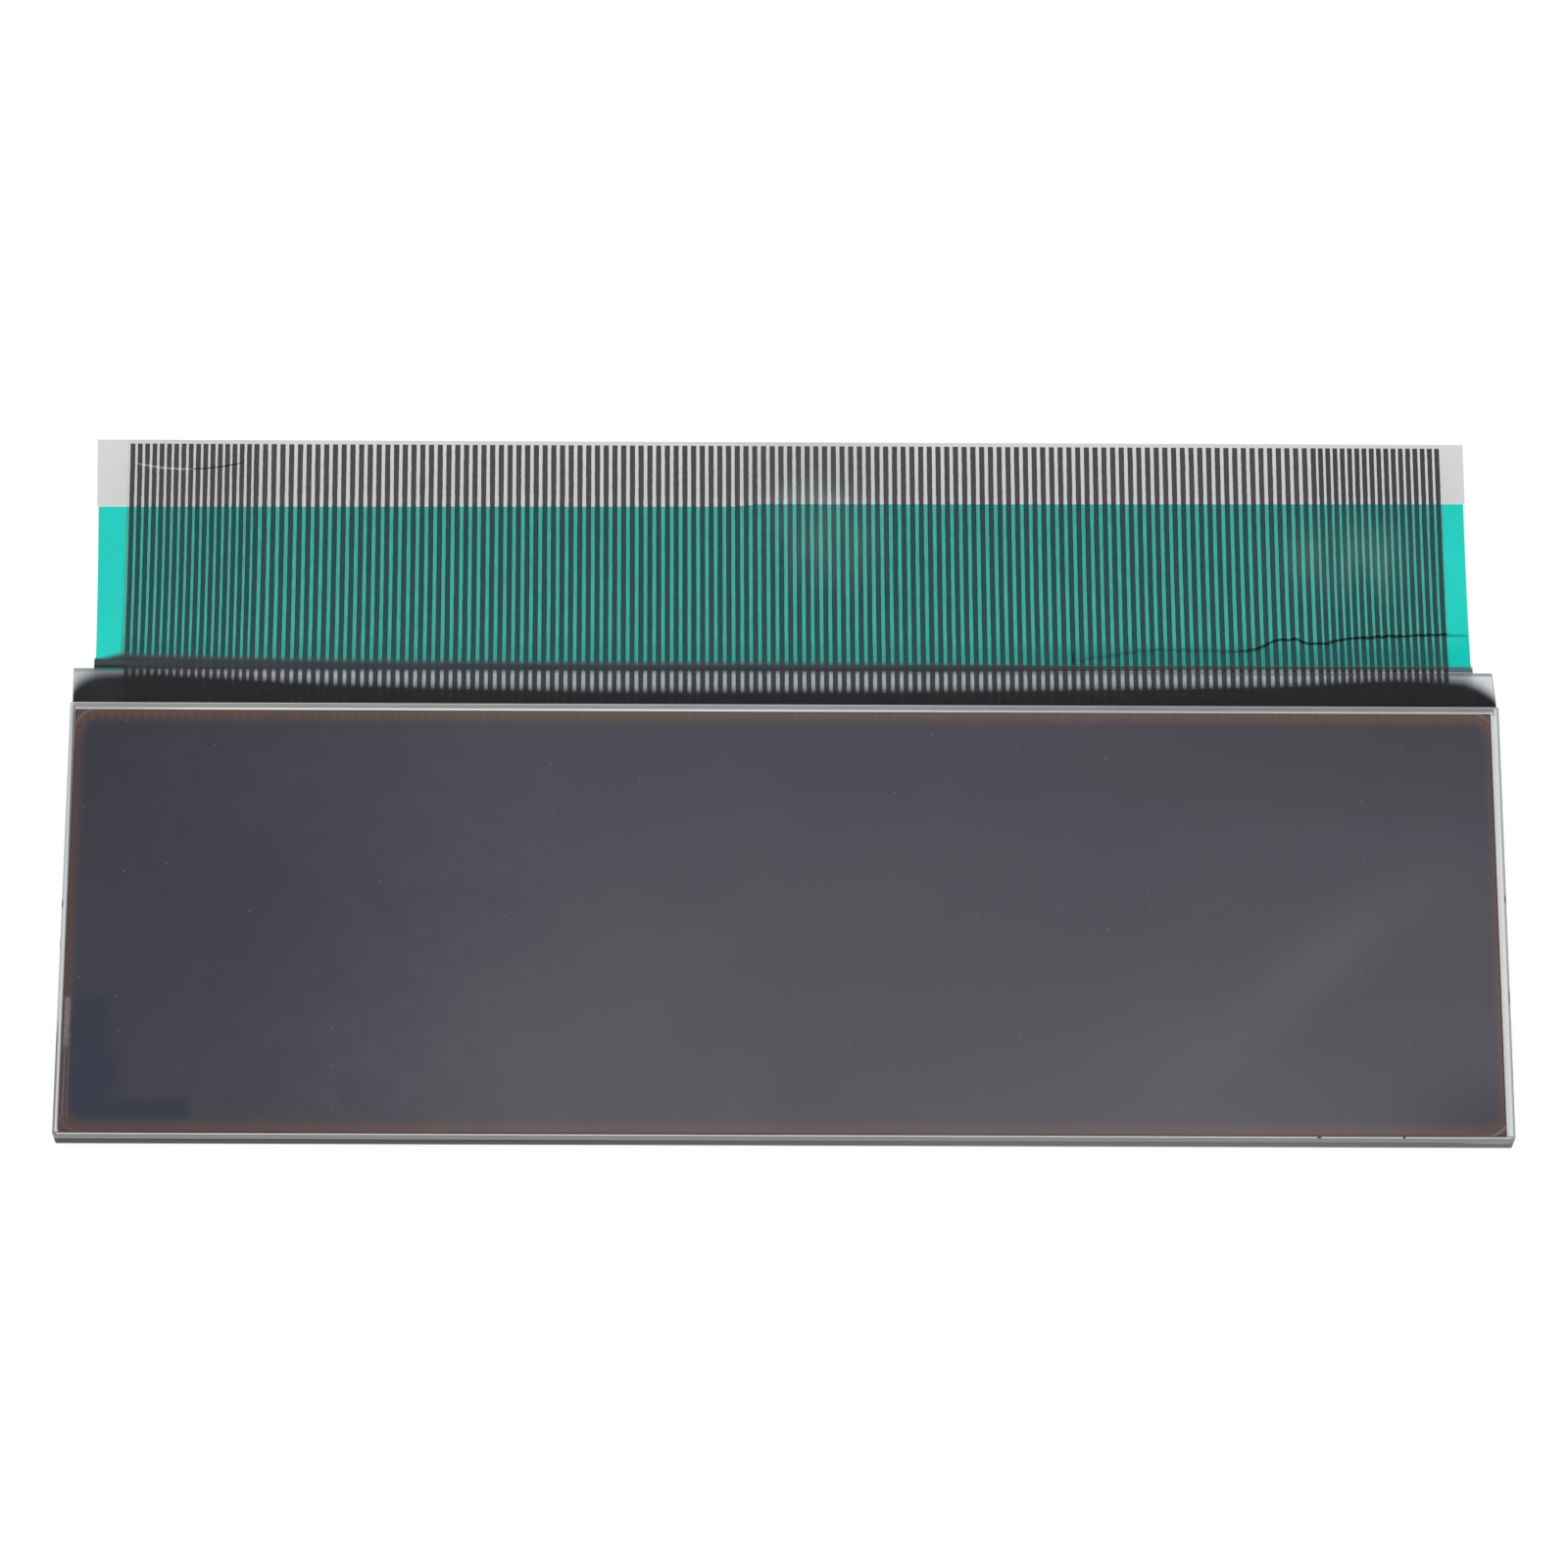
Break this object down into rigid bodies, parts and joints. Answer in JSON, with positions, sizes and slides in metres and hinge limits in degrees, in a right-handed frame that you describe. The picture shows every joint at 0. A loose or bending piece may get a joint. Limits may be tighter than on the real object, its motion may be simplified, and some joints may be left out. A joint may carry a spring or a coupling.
{
  "type": "lcd screen",
  "caption": "Bare glass liquid crystal display cell with dark polarizers and a clear heat-seal ribbon with printed carbon traces on its contact ledge.",
  "frame": {"origin": "middle of the back face of the rear polarizer, under the middle of the front plate", "axes": "+Z out of the viewing face, +X along the long side, +Y from the viewing area towards the ribbon"},
  "size_m": [0.0966, 0.0501, 0.0026],
  "materials": {
    "glass": "clear float glass with ground arrises",
    "front_polarizer_film": "dark neutral grey, satin gloss",
    "rear_polarizer_film": "near black, matt",
    "seal_epoxy": "brown cured epoxy",
    "end_seal_resin": "pinkish cured resin",
    "liquid_crystal": "fluid layer, sealed",
    "transfer_dot": "silver-filled paste",
    "adhesive": "hazy heat-seal adhesive",
    "ribbon_film": "clear polyester film with black carbon traces underneath",
    "cover_coat": "teal insulating print"
  },
  "bodies": {
    "root": {"rear_polarizer": "rear_polarizer_film", "rear_glass": "glass", "perimeter_seal": "seal_epoxy", "end_seal": "end_seal_resin", "liquid_crystal": "liquid_crystal", "transfer_dot_left": "transfer_dot", "transfer_dot_right": "transfer_dot", "front_glass": "glass", "front_polarizer": "front_polarizer_film", "bond_adhesive": "adhesive", "ribbon_film": "ribbon_film", "cover_coat": "cover_coat"}
  },
  "joints": []
}
